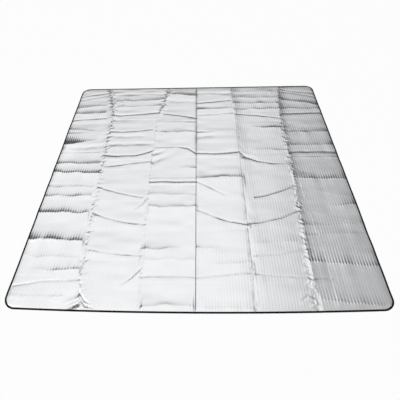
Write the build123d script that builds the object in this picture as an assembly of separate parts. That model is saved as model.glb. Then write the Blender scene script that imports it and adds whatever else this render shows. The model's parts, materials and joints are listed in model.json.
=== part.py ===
from build123d import *
import math
import os

# A folding foam sleeping pad for the floor of a tent: a thin sheet of closed-cell foam with
# an aluminised film laminated to each face, bound all round with a sewn fabric tape.
# Five lengthwise creases divide it into six equal panels, and the middle crease is also the
# seam where two widths of foam are welded side by side. To pack it, the outer panels fold
# in, each side folds once more to the middle, and the pad then closes like a book.
#
# Millimetres. X runs across the creases, Y along them towards the back edge, Z up.
# The origin is on the ground, under the middle of the pad.

# Overall sizes
PAD_WIDTH = 2000.0  # across the creases
PAD_LENGTH = 2000.0  # along the creases
CORNER_RADIUS = 65.0
PANELS = 6
HOME_PANEL = 4  # the panel that stays on the ground while the others fold

# The laminate
FOAM_THICK = 2.8
FILM_THICK = 0.1
CORNER_SNIPS = 12  # the straight cuts that trim the film round each corner

# The creases
CREASE_WIDTH = 6.0  # the soft strip between two panels
CREASE_CLEARANCE = 0.3  # from that strip to the panel that swings away from it
SEAM_BEAD = 4.0  # the welded bead in the middle crease
SEAM_BEAD_SINK = 0.3  # how far the bead lies below the film

# The edge binding
TAPE_FACE_WIDTH = 10.0  # how far the folded tape reaches in over each face
TAPE_THICK = 0.4
THREAD_WIDTH = 0.6
THREAD_HEIGHT = 0.25
THREAD_SETBACK = 2.0  # from the tape's inner edge to the middle of the stitch line

# What follows from them
PAD_THICK = FOAM_THICK + 2 * FILM_THICK
PANEL_PITCH = PAD_WIDTH / PANELS
FILM_INSET = TAPE_FACE_WIDTH
TAPE_BOTTOM = THREAD_HEIGHT
TAPE_TOP = PAD_THICK - THREAD_HEIGHT
PINCHED_BOTTOM = TAPE_BOTTOM + TAPE_THICK
PINCHED_TOP = TAPE_TOP - TAPE_THICK
THREAD_INNER = TAPE_FACE_WIDTH - THREAD_SETBACK + THREAD_WIDTH / 2
THREAD_OUTER = TAPE_FACE_WIDTH - THREAD_SETBACK - THREAD_WIDTH / 2


def outline(inset):
    """The pad's plan, a square with round corners, drawn in by inset all round."""
    return RectangleRounded(
        PAD_WIDTH - 2 * inset, PAD_LENGTH - 2 * inset, CORNER_RADIUS - inset
    )


def film_outline():
    """The film's plan: up to the tape's inner edge, trimmed round each corner in straight snips."""
    radius = CORNER_RADIUS - FILM_INSET
    points = []
    for quarter in range(4):
        side_x = 1 if quarter in (0, 3) else -1
        side_y = 1 if quarter in (0, 1) else -1
        middle_x = side_x * (PAD_WIDTH / 2 - CORNER_RADIUS)
        middle_y = side_y * (PAD_LENGTH / 2 - CORNER_RADIUS)
        for snip in range(CORNER_SNIPS + 1):
            angle = math.radians(90 * (quarter + snip / CORNER_SNIPS))
            points.append((middle_x + radius * math.cos(angle), middle_y + radius * math.sin(angle)))
    return Polygon(*points, align=None)


def strip(x_low, x_high):
    """A plan strip from x_low to x_high, longer than the pad."""
    middle = (x_low + x_high) / 2
    return Pos(middle, 0) * Rectangle(x_high - x_low, 2 * PAD_LENGTH)


def slab(plan, z_low, z_high):
    """The plan as a flat solid from z_low to z_high."""
    return extrude(Pos(0, 0, z_low) * plan, amount=z_high - z_low)


def crease_x(crease):
    """The middle of a crease, numbered from 1 at the left."""
    return -PAD_WIDTH / 2 + crease * PANEL_PITCH


def crease_owner(crease):
    """The panel that a crease's strip is part of: the one nearer to the home panel."""
    return crease + 1 if crease < HOME_PANEL else crease


def crease_span(crease):
    """The strip's two sides, the one next to the swinging panel set back by the clearance."""
    low = crease_x(crease) - CREASE_WIDTH / 2
    high = crease_x(crease) + CREASE_WIDTH / 2
    if crease_owner(crease) > crease:
        return low + CREASE_CLEARANCE, high
    return low, high - CREASE_CLEARANCE


def panel_span(panel):
    """A panel's two sides, without the creases beside it."""
    low = -PAD_WIDTH / 2
    high = PAD_WIDTH / 2
    if panel > 1:
        low = crease_x(panel - 1) + CREASE_WIDTH / 2
    if panel < PANELS:
        high = crease_x(panel) - CREASE_WIDTH / 2
    return low, high


def carried_span(panel):
    """A panel's two sides, with the creases that it carries."""
    low, high = panel_span(panel)
    if panel > 1 and crease_owner(panel - 1) == panel:
        low = crease_span(panel - 1)[0]
    if panel < PANELS and crease_owner(panel) == panel:
        high = crease_span(panel)[1]
    return low, high


def bound_slab(span, z_low, z_high):
    """A stretch of the pad between two sides: z_low to z_high, and pinched under the tape."""
    plan = strip(*span)
    body = slab(outline(TAPE_FACE_WIDTH) & plan, z_low, z_high)
    edge = slab(outline(TAPE_THICK) & plan, PINCHED_BOTTOM, PINCHED_TOP)
    return body + edge


def foam_core(panel):
    """One panel of closed-cell foam."""
    return bound_slab(panel_span(panel), FILM_THICK, FILM_THICK + FOAM_THICK)


def film(panel, z_low):
    """The aluminised film on one face of a panel, up to the tape's inner edge."""
    plan = film_outline() & strip(*panel_span(panel))
    return slab(plan, z_low, z_low + FILM_THICK)


def fold_crease(crease):
    """The creased strip of foam and film that lets the next panel swing."""
    return bound_slab(crease_span(crease), 0, PAD_THICK)


def centre_seam(crease):
    """The middle crease: the foam's two edges welded together in a sunk bead."""
    low, high = crease_span(crease)
    groove = strip(crease_x(crease) - SEAM_BEAD / 2, crease_x(crease) + SEAM_BEAD / 2)
    groove = groove & outline(TAPE_FACE_WIDTH)
    top_groove = slab(groove, PAD_THICK - SEAM_BEAD_SINK, PAD_THICK)
    return bound_slab((low, high), 0, PAD_THICK) - top_groove


def edge_tape(panel):
    """The binding folded over the edge of a panel and of the creases that it carries."""
    plan = strip(*carried_span(panel))
    wall = (outline(0) - outline(TAPE_THICK)) & plan
    leg = (outline(0) - outline(TAPE_FACE_WIDTH)) & plan
    tape = slab(wall, TAPE_BOTTOM, TAPE_TOP)
    tape = tape + slab(leg, PINCHED_TOP, TAPE_TOP)
    return tape + slab(leg, TAPE_BOTTOM, PINCHED_BOTTOM)


def edge_stitching(panel):
    """The lockstitch line on both faces of a panel's binding."""
    plan = (outline(THREAD_OUTER) - outline(THREAD_INNER)) & strip(*carried_span(panel))
    bottom = slab(plan, 0, THREAD_HEIGHT)
    top = slab(plan, TAPE_TOP, PAD_THICK)
    return bottom.solids().sort_by(Axis.Y) + top.solids().sort_by(Axis.Y)


def save(name, solids):
    """One file for one node, which may be a group of separate solids."""
    shape = solids[0] if len(solids) == 1 else Compound(children=solids)
    export_step(shape, f"parts/{name}.step")


os.makedirs("parts", exist_ok=True)

for panel in range(1, PANELS + 1):
    save(f"foam_core_{panel}", foam_core(panel).solids())
    save(f"bottom_film_{panel}", film(panel, 0).solids())
    save(f"top_film_{panel}", film(panel, PAD_THICK - FILM_THICK).solids())
    save(f"edge_stitching_{panel}", edge_stitching(panel))
    tapes = edge_tape(panel).solids().sort_by(Axis.Y)
    if len(tapes) == 1:
        save(f"edge_tape_{panel}", tapes)
    else:
        save(f"edge_tape_{panel}_front", tapes[:1])
        save(f"edge_tape_{panel}_back", tapes[1:])

for crease in range(1, PANELS):
    if 2 * crease == PANELS:
        save("centre_seam", centre_seam(crease).solids())
    else:
        save(f"fold_crease_{crease}", fold_crease(crease).solids())
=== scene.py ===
# %% [markdown]
# # A folding foam sleeping pad
#
# The pad is a thin square sheet of closed-cell foam with an aluminised film on both faces and a
# black tape sewn round its edge. It has been folded and carried many times, so it lies with five
# lengthwise creases, dozens of cross creases and soft pillows of film between them.
#
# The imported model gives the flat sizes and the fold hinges. Everything that makes it look used is
# made here, as one relief that every piece shares, so film, foam, tape and thread stay together.

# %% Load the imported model
import json
import math

import bpy
import numpy as np
from mathutils import Matrix, Vector

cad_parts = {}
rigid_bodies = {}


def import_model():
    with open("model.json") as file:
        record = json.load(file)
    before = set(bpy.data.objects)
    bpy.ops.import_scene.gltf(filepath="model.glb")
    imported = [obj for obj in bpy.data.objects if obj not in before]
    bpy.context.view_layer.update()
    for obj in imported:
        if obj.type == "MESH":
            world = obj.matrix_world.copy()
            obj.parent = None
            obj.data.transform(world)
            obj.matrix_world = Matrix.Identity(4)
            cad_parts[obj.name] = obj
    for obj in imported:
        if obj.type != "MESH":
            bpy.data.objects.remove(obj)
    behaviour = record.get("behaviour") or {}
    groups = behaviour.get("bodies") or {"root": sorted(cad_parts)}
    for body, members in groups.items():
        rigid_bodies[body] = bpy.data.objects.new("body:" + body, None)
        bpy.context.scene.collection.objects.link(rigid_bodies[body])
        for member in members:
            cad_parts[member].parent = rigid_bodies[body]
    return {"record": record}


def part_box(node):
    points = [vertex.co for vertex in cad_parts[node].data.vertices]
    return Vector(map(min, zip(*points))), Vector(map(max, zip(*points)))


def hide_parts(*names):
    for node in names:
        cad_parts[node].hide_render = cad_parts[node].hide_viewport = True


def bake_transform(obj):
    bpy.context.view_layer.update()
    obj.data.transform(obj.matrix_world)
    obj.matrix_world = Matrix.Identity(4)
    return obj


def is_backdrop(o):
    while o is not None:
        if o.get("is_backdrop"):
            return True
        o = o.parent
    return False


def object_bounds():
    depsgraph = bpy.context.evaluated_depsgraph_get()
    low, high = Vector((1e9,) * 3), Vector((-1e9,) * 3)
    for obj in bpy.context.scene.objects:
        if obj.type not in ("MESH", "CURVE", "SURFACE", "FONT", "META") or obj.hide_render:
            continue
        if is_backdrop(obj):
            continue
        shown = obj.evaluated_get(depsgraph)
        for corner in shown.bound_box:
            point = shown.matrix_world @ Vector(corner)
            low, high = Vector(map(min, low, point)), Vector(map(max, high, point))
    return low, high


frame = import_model()
MM = 0.001
low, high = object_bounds()
HALF_WIDTH = high[0] / MM
HALF_LENGTH = high[1] / MM
THICK = (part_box("top_film_4")[1][2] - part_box("bottom_film_4")[0][2]) / MM
TAPE_WIDTH = HALF_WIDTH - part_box("top_film_6")[1][0] / MM
print("pad", 2 * HALF_WIDTH, "x", 2 * HALF_LENGTH, "x", round(THICK, 2), "mm, tape", round(TAPE_WIDTH, 2))

# %% [markdown]
# Each crease is a hinge in the imported model. A piece that crosses a hinge would have to bend round it, so
# the pad is cut into five zones, one for each hinge, whose borders run down the middle of the panels, where
# nothing moves. A zone has fine columns only in a narrow band round its hinge, which is wider for the hinges
# that lie higher, because more layers are folded in there.

# %% Zones, one for each hinge
BEND_SHARE = 0.6  # half the band of fine columns round a hinge, as a share of the hinge's height


def hinge_places(joints):
    """(x, height, left body, right body) of each hinge, from the left, in mm."""
    places = []
    for joint in joints:
        x, _, z = [value / MM for value in joint["pos_m"]]
        pair = sorted((joint["parent"], joint["child"]))
        places.append((x, z, *pair))
    return sorted(places)


HINGES = hinge_places(frame["record"]["behaviour"]["joints"])
# The photograph shows this pitch in the outer panels, and none clearly in the middle ones.
RIB_PITCH = 16.0
# The borders lie on the flank of a rib, where the shading of two meshes meets without a line.
BORDERS = [-HALF_WIDTH, -500.0, -164.0, 164.0, 500.0, HALF_WIDTH]
for x, z, left, right in HINGES:
    print("hinge at", round(x, 1), "height", round(z, 1), left, right)

# %% [markdown]
# ## The relief
#
# Every fold that the pad has ever had leaves a line. Here each one is an entry in a list: its
# kind, its width, and the points it runs through, each with the depth there. A *fold* is a sharp
# valley, a *wave* is a round one, and a *lip* is a ridge that rises slowly towards the back and
# then drops. A list reads like the pad itself, and is easy to change by hand; noise alone would
# never give lines that run from crease to crease.

# %% The lengthwise creases
# Each is a line of (y, x) points in mm from the front edge to the back one. The imported model's hinges are
# straight, so a crease lies up to 100 mm beside the line that bends.
LENGTHWISE = [
    [
        (-1000, -600), (-770, -630), (-430, -650), (0, -662),
        (400, -670), (620, -675), (780, -708), (1000, -767),
    ],
    [(-1000, -288), (-430, -308), (150, -314), (620, -310), (800, -268), (1000, -244)],
    [(-1000, 0), (1000, 0)],
    [(-1000, 300), (-770, 310), (-100, 313), (230, 317), (620, 308), (1000, 301)],
    [(-1000, 602), (-770, 620), (-430, 633), (0, 657), (230, 662), (570, 667), (850, 692), (1000, 716)],
]
LENGTHWISE_DEPTH = [1.0, 0.8, 0.5, 1.1, 1.2]
LENGTHWISE_WIDTH = [9.0, 7.0, 5.0, 12.0, 11.0]
LENGTHWISE_CRUMPLE = [1.5, 0.55, 0.0, 0.35, 1.6]
# The step beside a crease: (crease, side, width in mm, lean at the back, lean at the front).
CREASE_STEPS = [
    (0, -1, 17.0, 0.42, 0.05),
    (1, 1, 15.0, -0.42, 0.02),
    (2, 1, 10.0, -0.16, -0.02),
    (3, 1, 32.0, -0.36, -0.03),
    (4, 1, 24.0, -0.42, -0.34),
    (4, -1, 14.0, 0.05, 0.14),
]
# Where a crease is painted dark at the back, as worn metal and as painted shade in the crease: (crease, from
# this y backwards, how much).
WORN_AND_SHADED_BACKS = [(0, 500, 0.8), (1, 500, 0.7), (2, 0, 0.9), (3, 600, 0.6), (4, 460, 0.95)]
# How each panel leans across its width, up to the right, from the left panel to the right one.
PANEL_LEAN = [0.0, 0.01, 0.02, 0.02, -0.023, -0.042]
crease_xs = [[x for _, x in line] for line in LENGTHWISE]
print("wander of each crease, mm", [max(xs) - min(xs) for xs in crease_xs])

# %% [markdown]
# Each time the pad is packed in a new way, the film takes new lines across the panels. They run
# from one lengthwise crease to the next, so they are listed panel by panel from the left, and in
# each panel from the back to the front.

# %% The cross creases
CROSS = [
    ("wave", 12, [(-1000, 880, 0.5), (-770, 940, 0.7)]),
    ("fold", 10, [(-1000, 822, 0.9), (-750, 892, 1.1)]),
    ("lip", 36, [(-1000, 705, 1.2), (-750, 752, 1.0)]),
    ("lip", 44, [(-1000, 636, 2.2), (-745, 650, 1.6)]),
    ("fold", 8, [(-1000, 552, 2.4), (-730, 574, 1.7)]),
    ("lip", 45, [(-1000, 430, 1.7), (-900, 432, 1.3), (-730, 400, 0.3)]),
    ("lip", 30, [(-1000, 388, 1.2), (-880, 388, 0.8), (-740, 380, 0.1)]),
    ("lip", 78, [(-1000, 258, 9.0), (-930, 264, 7.0), (-870, 280, 2.8), (-740, 320, 0.4)]),
    ("wave", 20, [(-1000, 232, 1.6), (-870, 222, 1.2), (-690, 236, 0.6)]),
    ("fold", 5, [(-1000, 170, 0.9), (-700, 178, 0.7)]),
    ("lip", 40, [(-1000, 58, 1.7), (-690, 54, 1.4)]),
    ("lip", 46, [(-1000, -30, 3.0), (-668, -42, 2.6)]),
    ("lip", 40, [(-1000, -168, 0.9), (-690, -172, 0.9)]),
    ("lip", 40, [(-1000, -242, 2.2), (-690, -248, 1.5)]),
    ("lip", 42, [(-1000, -376, 2.5), (-680, -384, 2.0)]),
    ("lip", 46, [(-1000, -572, 3.1), (-670, -580, 2.9)]),
    ("lip", 44, [(-1000, -690, 0.8), (-670, -694, 0.9)]),
    ("lip", 36, [(-900, -775, 0.3), (-780, -775, 1.6), (-650, -768, 2.4)]),
    ("fold", 7, [(-980, -872, 1.0), (-840, -842, 0.8), (-630, -825, 1.4)]),
    ("lip", 34, [(-990, -930, 0.4), (-700, -920, 0.8)]),
    ("wave", 14, [(-735, 905, 0.6), (-262, 905, 0.5)]),
    ("lip", 34, [(-715, 808, 1.1), (-275, 812, 1.0)]),
    ("lip", 34, [(-705, 724, 0.8), (-285, 728, 0.8)]),
    ("fold", 11, [(-695, 655, 2.0), (-668, 618, 3.6), (-620, 608, 3.6), (-520, 616, 3.0), (-308, 642, 2.6)]),
    ("wave", 30, [(-672, 560, 0.8), (-560, 575, 0.8), (-440, 590, 0.4)]),
    ("fold", 9, [(-667, 410, 2.4), (-560, 402, 2.0), (-440, 412, 1.4), (-340, 428, 1.0)]),
    ("wave", 20, [(-665, 345, 0.5), (-400, 350, 0.6)]),
    ("wave", 18, [(-665, 252, 0.7), (-318, 258, 0.6)]),
    ("fold", 9, [(-667, 145, 3.6), (-560, 131, 3.0), (-440, 138, 2.3), (-380, 156, 1.9), (-320, 186, 1.6)]),
    ("fold", 6, [(-655, 22, 1.2), (-560, 34, 1.3), (-317, 74, 1.2)]),
    ("fold", 6, [(-658, -165, 1.3), (-520, -215, 1.5), (-400, -247, 1.5), (-345, -256, 0.8)]),
    ("fold", 5, [(-383, -350, 0.6), (-340, -310, 1.0), (-315, -262, 1.3)]),
    ("fold", 6, [(-648, -380, 1.9), (-560, -418, 1.6), (-440, -452, 1.6), (-312, -466, 1.3)]),
    ("fold", 5, [(-640, -636, 1.2), (-540, -655, 1.0), (-420, -668, 1.2), (-310, -676, 0.8)]),
    ("fold", 5, [(-400, -850, 0.5), (-345, -805, 1.0), (-298, -752, 1.2)]),
    ("wave", 40, [(-660, -520, 0.6), (-320, -560, 0.5)]),
    ("lip", 46, [(-240, 905, 1.4), (-120, 893, 1.8), (-6, 866, 2.1)]),
    ("wave", 22, [(-290, 800, 0.5), (-6, 790, 0.7)]),
    ("fold", 8, [(-305, 634, 1.5), (-150, 604, 1.2), (-2, 566, 2.0)]),
    ("lip", 34, [(-300, 512, 0.7), (-6, 500, 0.9)]),
    ("lip", 34, [(-305, 392, 0.9), (-6, 388, 0.9)]),
    ("fold", 9, [(-310, 222, 0.6), (-140, 222, 1.2), (-60, 205, 2.2), (-4, 158, 3.2)]),
    ("wave", 26, [(-312, 70, 1.7), (-265, 90, 1.4), (-200, 124, 0.8), (-160, 150, 0.2)]),
    ("wave", 18, [(-312, 150, 1.0), (-240, 170, 0.5)]),
    ("lip", 30, [(-133, 6, 0.0), (-8, 4, 0.9)]),
    ("fold", 6, [(-310, -122, 2.8), (-160, -124, 2.6), (-5, -125, 3.0)]),
    ("lip", 40, [(-305, -240, 0.7), (-8, -243, 0.7)]),
    ("lip", 34, [(-290, -336, 0.9), (-150, -338, 1.1), (-5, -340, 1.8)]),
    ("lip", 40, [(-306, -634, 1.1), (-180, -634, 1.0), (-60, -630, 0.0)]),
    ("lip", 36, [(-300, -700, 0.7), (-8, -702, 0.7)]),
    ("fold", 6, [(-305, -802, 1.2), (-150, -796, 0.9), (-8, -802, 1.0)]),
    ("lip", 34, [(-270, -966, 1.5), (-17, -964, 1.3)]),
    ("wave", 14, [(8, 905, 0.5), (290, 900, 0.5)]),
    ("fold", 9, [(8, 766, 2.2), (120, 780, 1.7), (280, 802, 1.2)]),
    ("lip", 34, [(10, 672, 1.7), (120, 676, 1.0), (290, 684, 0.8)]),
    ("fold", 6, [(4, 598, 1.0), (160, 608, 0.8), (305, 628, 1.1)]),
    ("fold", 9, [(8, 394, 2.4), (80, 392, 1.4), (150, 400, 0.2)]),
    ("wave", 26, [(10, 330, 0.9), (130, 350, 0.4)]),
    ("fold", 8, [(4, 153, 3.2), (100, 146, 3.0), (200, 150, 2.7), (314, 166, 2.2)]),
    ("lip", 44, [(10, -100, 1.2), (90, -88, 1.4), (180, -78, 1.5), (312, -92, 1.2)]),
    ("fold", 6, [(5, -126, 1.8), (90, -180, 1.4), (180, -238, 0.8)]),
    ("fold", 6, [(4, -356, 1.0), (100, -405, 1.3), (200, -445, 1.7), (312, -468, 2.4)]),
    ("lip", 30, [(8, -622, 1.1), (135, -626, 0.1)]),
    ("lip", 40, [(120, -724, 0.5), (306, -720, 0.7)]),
    ("fold", 6, [(5, -804, 1.2), (160, -790, 0.8), (306, -778, 1.0)]),
    ("lip", 34, [(12, -976, 0.8), (296, -980, 0.8)]),
    ("lip", 34, [(310, 922, 0.6), (700, 925, 0.7)]),
    ("lip", 38, [(312, 834, 1.1), (688, 832, 1.0)]),
    ("lip", 38, [(312, 752, 1.6), (500, 752, 1.5), (684, 756, 1.1)]),
    ("lip", 38, [(314, 668, 1.6), (676, 678, 2.1)]),
    ("fold", 8, [(312, 610, 2.3), (500, 584, 2.3), (662, 552, 2.0)]),
    ("lip", 28, [(400, 436, 0.0), (500, 436, 1.3), (600, 434, 1.5), (640, 436, 0.9)]),
    ("wave", 30, [(330, 330, 0.4), (640, 320, 0.4)]),
    ("lip", 30, [(370, 174, 0.0), (500, 178, 0.9), (650, 176, 1.1)]),
    ("fold", 9, [(319, 148, 2.3), (355, 105, 2.6), (430, 62, 2.0), (533, 40, 1.5), (655, 36, 0.8)]),
    ("wave", 16, [(330, 112, 1.3), (420, 92, 0.6)]),
    ("fold", 6, [(375, -262, 1.6), (450, -248, 1.9), (560, -206, 1.7), (650, -160, 1.4)]),
    ("fold", 6, [(314, -462, 2.5), (400, -452, 1.8), (520, -420, 1.6), (640, -370, 1.3)]),
    ("lip", 40, [(330, -600, 0.6), (630, -590, 0.8)]),
    ("fold", 5, [(322, -676, 0.9), (500, -667, 0.9), (626, -636, 1.3)]),
    ("fold", 5, [(320, -784, 0.9), (440, -800, 0.7), (617, -812, 0.8)]),
    ("fold", 6, [(545, -934, 0.6), (580, -906, 1.2), (615, -920, 0.8)]),
    ("wave", 14, [(700, 955, 0.7), (1000, 880, 0.5)]),
    ("fold", 9, [(706, 922, 1.8), (840, 880, 1.4), (1000, 826, 1.2)]),
    ("lip", 40, [(695, 806, 1.4), (840, 762, 1.7), (1000, 722, 1.7)]),
    ("lip", 36, [(686, 672, 1.6), (1000, 668, 1.4)]),
    ("fold", 11, [(672, 606, 4.2), (1000, 612, 4.0)]),
    ("lip", 44, [(668, 372, 1.1), (1000, 374, 1.4)]),
    ("lip", 40, [(664, 228, 1.2), (1000, 224, 1.3)]),
    ("fold", 13, [(664, 158, 3.8), (1000, 154, 3.4)]),
    ("fold", 5, [(664, 108, 0.8), (1000, 108, 0.7)]),
    ("lip", 60, [(656, -104, 2.4), (1000, -104, 1.9)]),
    ("lip", 60, [(820, -332, 0.1), (920, -330, 1.6), (1000, -328, 2.0)]),
    ("lip", 40, [(645, -476, 1.3), (760, -480, 0.7), (1000, -478, 0.7)]),
    ("lip", 40, [(638, -545, 1.1), (1000, -545, 0.6)]),
    ("lip", 90, [(630, -722, 2.9), (800, -732, 3.0), (1000, -758, 2.4)]),
    ("fold", 7, [(625, -815, 1.5), (750, -818, 0.2)]),
    ("lip", 60, [(640, -925, 1.8), (760, -960, 1.6), (1000, -980, 0.9)]),
    # the tuck at the front of the first crease
    ("wave", 16, [(-690, -990, 0.6), (-610, -962, 3.4)]),
    ("fold", 6, [(-612, -900, 1.4), (-578, -945, 3.4), (-545, -962, 1.0)]),
    ("fold", 6, [(-604, -930, 1.4), (-566, -972, 3.4), (-528, -984, 0.8)]),
]
print(len(CROSS), "cross creases laid by hand")

# %% [markdown]
# Film that doubles back at a crease leaves short marks that run out of it like the barbs of a
# feather. They are many and alike, so a loop lays them along the crease, with a little chance in
# their places, lengths and depths, from a fixed seed.

# %% Feathered creases
# (crease, from y, to y, spacing, reach, depth, how steeply they rise backwards)
FEATHERS = [
    (0, -900, 640, 62, 36, 1.0, 1.0),
    (0, 660, 990, 40, 30, 3.0, 2.6),
    (0, 690, 980, 46, -26, 1.6, 1.0),
    (1, 640, 960, 34, 30, 3.6, 3.4),
    (1, 700, 960, 50, -26, 1.6, 1.0),
    (4, -960, 560, 44, -30, 1.3, 1.0),
    (4, 580, 980, 52, 26, 1.6, 2.0),
]
dice = np.random.default_rng(5)
for k, start, end, spacing, reach, depth, steep in FEATHERS:
    y_line, x_line = np.array(LENGTHWISE[k], float).T
    for y in np.arange(start, end, spacing):
        y = y + dice.uniform(-0.3, 0.3) * spacing
        x = np.interp(y, y_line, x_line)
        out = reach * dice.uniform(0.6, 1.2)
        rise = steep * dice.uniform(6, 20)
        strong = depth * dice.uniform(0.4, 1.3)
        barb = [(x, y, strong), (x + 0.6 * out, y + 0.7 * rise, 0.8 * strong), (x + out, y + rise, 0.1)]
        CROSS.append(("fold", 5, barb))
print(len(LENGTHWISE), "lengthwise creases and", len(CROSS), "cross creases with the feathers")

# %% [markdown]
# Film over foam also has a fine unevenness. It comes from value noise, which is a grid of
# random heights, joined smoothly. The seed is fixed, so that each run makes the same pad.

# %% Noise and crease profiles
def value_noise(x, y, size, seed):
    """Smooth noise from -1 to 1, whose lumps are about size mm across."""
    rng = np.random.default_rng(seed)
    lattice = rng.uniform(-1, 1, (64, 64))
    u = x / size + 1000
    v = y / size + 1000
    i = np.floor(u).astype(int)
    j = np.floor(v).astype(int)
    fu = u - i
    fv = v - j
    fu = fu * fu * (3 - 2 * fu)
    fv = fv * fv * (3 - 2 * fv)
    a = lattice[i % 64, j % 64]
    b = lattice[(i + 1) % 64, j % 64]
    c = lattice[i % 64, (j + 1) % 64]
    d = lattice[(i + 1) % 64, (j + 1) % 64]
    return (a + (b - a) * fu) * (1 - fv) + (c + (d - c) * fu) * fv


def smooth_step(value):
    value = np.clip(value, 0, 1)
    return value * value * (3 - 2 * value)


def crease_line(index, y):
    """The x of a lengthwise crease at each y, with the small wander of a line folded by hand."""
    points = np.array(LENGTHWISE[index], float)
    wander = 3.0 * LENGTHWISE_CRUMPLE[index] * value_noise(y, y * 0, 34.0, 11 + index)
    return np.interp(y, points[:, 0], points[:, 1]) + wander


def near_line(x, y, points):
    """(signed distance, positive behind the line; depth at the line's nearest place)."""
    best = np.full(x.shape, 1e9)
    side = np.ones(x.shape)
    depth = np.zeros(x.shape)
    for (x0, y0, d0), (x1, y1, d1) in zip(points, points[1:]):
        dx, dy = x1 - x0, y1 - y0
        t = ((x - x0) * dx + (y - y0) * dy) / (dx * dx + dy * dy)
        inside = np.clip(t, 0, 1)
        away = np.hypot(x - x0 - inside * dx, y - y0 - inside * dy)
        nearer = away < best
        best = np.where(nearer, away, best)
        behind = np.sign((y - y0) * dx - (x - x0) * dy) * math.copysign(1, dx)
        side = np.where(nearer, behind, side)
        depth = np.where(nearer, d0 + inside * (d1 - d0), depth)
    return side * best, depth


def lip(away, width):
    """A ridge that rises slowly towards the back and drops again within half its width."""
    return np.exp(np.minimum(away, 0) / (1.6 * width)) * np.exp(-np.maximum(away, 0) / (0.55 * width))


def profile(kind, away, width):
    """The shape across a crease: 1 in a valley's bottom, and below 0 on a ridge."""
    if kind == "fold":
        return np.exp(-np.abs(away) / width) - 0.45 * lip(away, 34.0)
    if kind == "wave":
        return np.exp(-((away / width) ** 2)) - 0.35 * np.exp(-(((away - 1.6 * width) / width) ** 2))
    return -1.5 * lip(away, width)


across_fold = profile("fold", np.array([-20.0, 0.0, 20.0]), 8.0)
print("across a fold, 20 mm in front, in it and 20 mm behind:", across_fold.round(2))

# %% [markdown]
# The relief adds these up: a low crown on each panel, the creases that cut it, the crumples along
# the lengthwise creases, and two sizes of noise. It stays between the ground and a few
# millimetres, which is what the folded layers leave room for.

# %% The relief
LEVEL = 1.35  # mm that the foam stands off the ground between its creases
CROWN = 0.55
MOST = 3.3
ROOM = 3.5  # mm between two panels that fold face to face, for the relief of both


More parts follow.
